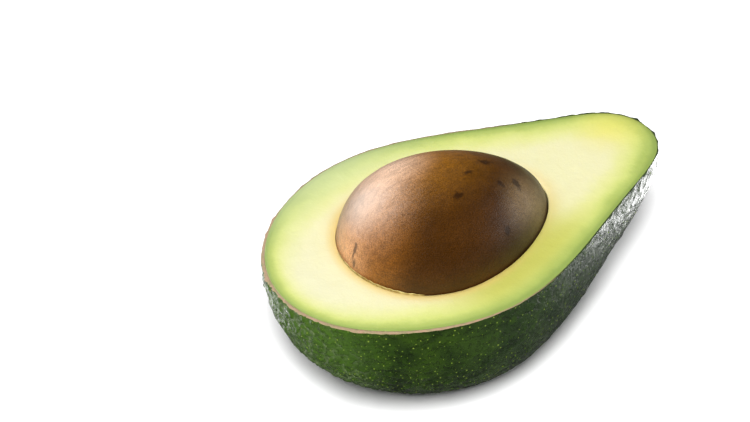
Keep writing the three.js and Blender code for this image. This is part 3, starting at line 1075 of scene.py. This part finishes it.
def make_coat(columns=160, rows=5):
    turn = np.linspace(COAT_FROM, COAT_TO, columns)
    foot = egg_points(ball_direction(*mouth_directions(turn, 0.0)), -0.02 * MM)
    share = np.linspace(0, 1, columns)
    height = COAT_HEIGHT * np.sin(math.pi * share) ** 0.6 * (1 + 0.5 * roughness_at(foot, 1.5))
    rise = np.linspace(-0.9, 1, rows)[:, None]  # below 0 is in the hollow, and 1 is the top
    points = np.repeat(foot[None], rows, 0)
    points[..., 2] += np.where(rise > 0, rise * height, rise) * MM
    outward = ball_direction(turn, np.zeros_like(turn))
    points += outward * (COAT_LEAN * np.maximum(rise, 0))[..., None]
    mesh = bpy.data.meshes.new("seed_coat")
    number = np.arange(rows * columns).reshape(rows, columns)
    faces = np.stack([number[:-1, :-1], number[:-1, 1:], number[1:, 1:], number[1:, :-1]], -1)
    mesh.from_pydata(points.reshape(-1, 3).tolist(), [], faces.reshape(-1, 4).tolist())
    mesh.materials.append(coat_paper)
    mesh.shade_smooth()
    obj = bpy.data.objects.new("seed_coat", mesh)
    bpy.context.scene.collection.objects.link(obj)
    thick = obj.modifiers.new("paper thickness", "SOLIDIFY")
    thick.thickness = PAPER_THICKNESS
    thick.offset = 0.0
    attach(obj, "root")
    return obj


coat = make_coat()
print("shred of coat:", len(coat.data.polygons), "faces before it is made thick")

# %% [markdown]
# The camera stands where the photograph was taken: in front of the fruit, 39 degrees above its cut face and
# seven tenths of a metre away, with a long lens, which keeps the far side of the rim nearly as large as the
# near side.

# %% Camera
CAMERA_PLACE = (-0.32045, -0.47342, 0.50682)
CAMERA_TURN = 57.61  # degrees from +X to the way the camera looks
CAMERA_DOWN = 39.15
CAMERA_ROLL = -3.51
PHOTO_WIDTH = 750
FOCAL_PIXELS = 3194
SENSOR = 36.0
FARTHEST = 50  # metres

camera_data = bpy.data.cameras.new("camera")
camera_data.sensor_width = SENSOR
camera_data.lens = FOCAL_PIXELS / PHOTO_WIDTH * SENSOR
camera_data.clip_end = FARTHEST
camera = bpy.data.objects.new("camera", camera_data)
aim = Euler((math.radians(90 - CAMERA_DOWN), 0, math.radians(CAMERA_TURN - 90))).to_matrix()
aim = aim @ Euler((0, 0, math.radians(CAMERA_ROLL))).to_matrix()
camera.matrix_world = aim.to_4x4()
camera.location = CAMERA_PLACE
bpy.context.scene.collection.objects.link(camera)
bpy.context.scene.camera = camera
print("lens", round(camera_data.lens, 1), "mm")

# %% [markdown]
# The floor is plain and nearly white. A photographer who wants a waxy fruit to stay deep green keeps bright
# things out of its mirror images, so the floor looks dark to glossy rays, which the Light Path node in its
# material sees to.

# %% Floor
FLOOR_REACH = 4.0
FLOOR_WHITE, FLOOR_IN_GLOSS = (0.95, 0.95, 0.95), (0.1, 0.1, 0.1)


def make_floor():
    far = FLOOR_REACH
    mesh = bpy.data.meshes.new("floor")
    mesh.from_pydata([(-far, -far, 0), (far, -far, 0), (far, far, 0), (-far, far, 0)], [], [(0, 1, 2, 3)])
    material, tree, inputs = new_finish("floor white", 0.9, 0.1)
    in_gloss = put(tree, "ShaderNodeLightPath", {}, "Is Glossy Ray")
    feed(tree, tint(tree, FLOOR_WHITE, FLOOR_IN_GLOSS, in_gloss), inputs["Base Color"])
    mesh.materials.append(made(material))
    floor = bpy.data.objects.new("floor", mesh)
    bpy.context.scene.collection.objects.link(floor)


make_floor()

# %% [markdown]
# The light is a studio's. Into the dark mirror image, a photographer then puts one or two bright things on
# purpose, and Blender can do the same by letting a lamp reach only some rays. The body lights reach diffuse
# rays alone: a large fill above the camera, which keeps the shadow small and under the fruit, and a weak one
# behind. The gloss lights reach glossy rays alone: a tall panel behind puts the pale sheen on the stone, and
# cards of light on the floor beside the fruit make its skin shine like silver near the rim.

# %% Lights
def add_light(name, shape, size, power, place, turned, lights):
    """A lamp that the camera doesn't see. It lights either body, which is diffuse rays alone, or gloss."""
    data = bpy.data.lights.new(name, "AREA")
    data.shape = shape
    data.size, data.size_y = size
    data.energy = power
    lamp = bpy.data.objects.new(name, data)
    lamp.location = place
    lamp.rotation_euler = turned
    lamp.visible_camera = False
    lamp.visible_glossy = lights == "gloss"
    lamp.visible_diffuse = lights == "body"
    bpy.context.scene.collection.objects.link(lamp)


def add_panel(name, turn, height, distance, size, power, lights):
    """A soft panel that looks at the fruit, from an angle round it and a height in degrees."""
    turn, height = math.radians(turn), math.radians(height)
    way = Vector((math.cos(height) * math.cos(turn), math.cos(height) * math.sin(turn), math.sin(height)))
    place = Vector((0, 0, CUT)) + way * distance
    add_light(name, "RECTANGLE", size, power, place, way.to_track_quat("Z", "Y").to_euler(), lights)


def add_card(name, place, size, power, turn=0):
    """A card of light that lies on the floor beside the fruit and shows only in its wax."""
    add_light(name, "ELLIPSE", size, power, (*place, 2 * MM), (math.pi, 0, math.radians(turn)), "gloss")


add_panel("fill panel", -124, 52, 1.5, (0.4, 0.6), 44, "body")
add_panel("back panel", 100, 50, 0.9, (0.5, 0.4), 1.6, "body")
add_panel("sheen panel", 110, 27, 0.9, (0.6, 0.85), 15, "gloss")
add_panel("right panel", -15, 9, 0.6, (0.4, 0.12), 0.6, "gloss")
add_card("neck card", (0.125, -0.02), (0.12, 0.08), 0.28)
add_card("flank card", (0.085, -0.045), (0.10, 0.08), 0.026, 20)
add_card("blossom card", (-0.075, 0.08), (0.10, 0.12), 0.12)

ROOM_LIGHT = 0.09  # from all sides, to fill the shadows a little
world = bpy.data.worlds.new("studio")
world.use_nodes = True
background = world.node_tree.nodes["Background"].inputs
background["Color"].default_value = (1, 1, 1, 1)
background["Strength"].default_value = ROOM_LIGHT
bpy.context.scene.world = world
world.cycles_visibility.glossy = False
bpy.context.scene.view_settings.view_transform = "Standard"
print("lights:", ", ".join(light.name for light in bpy.data.lights))
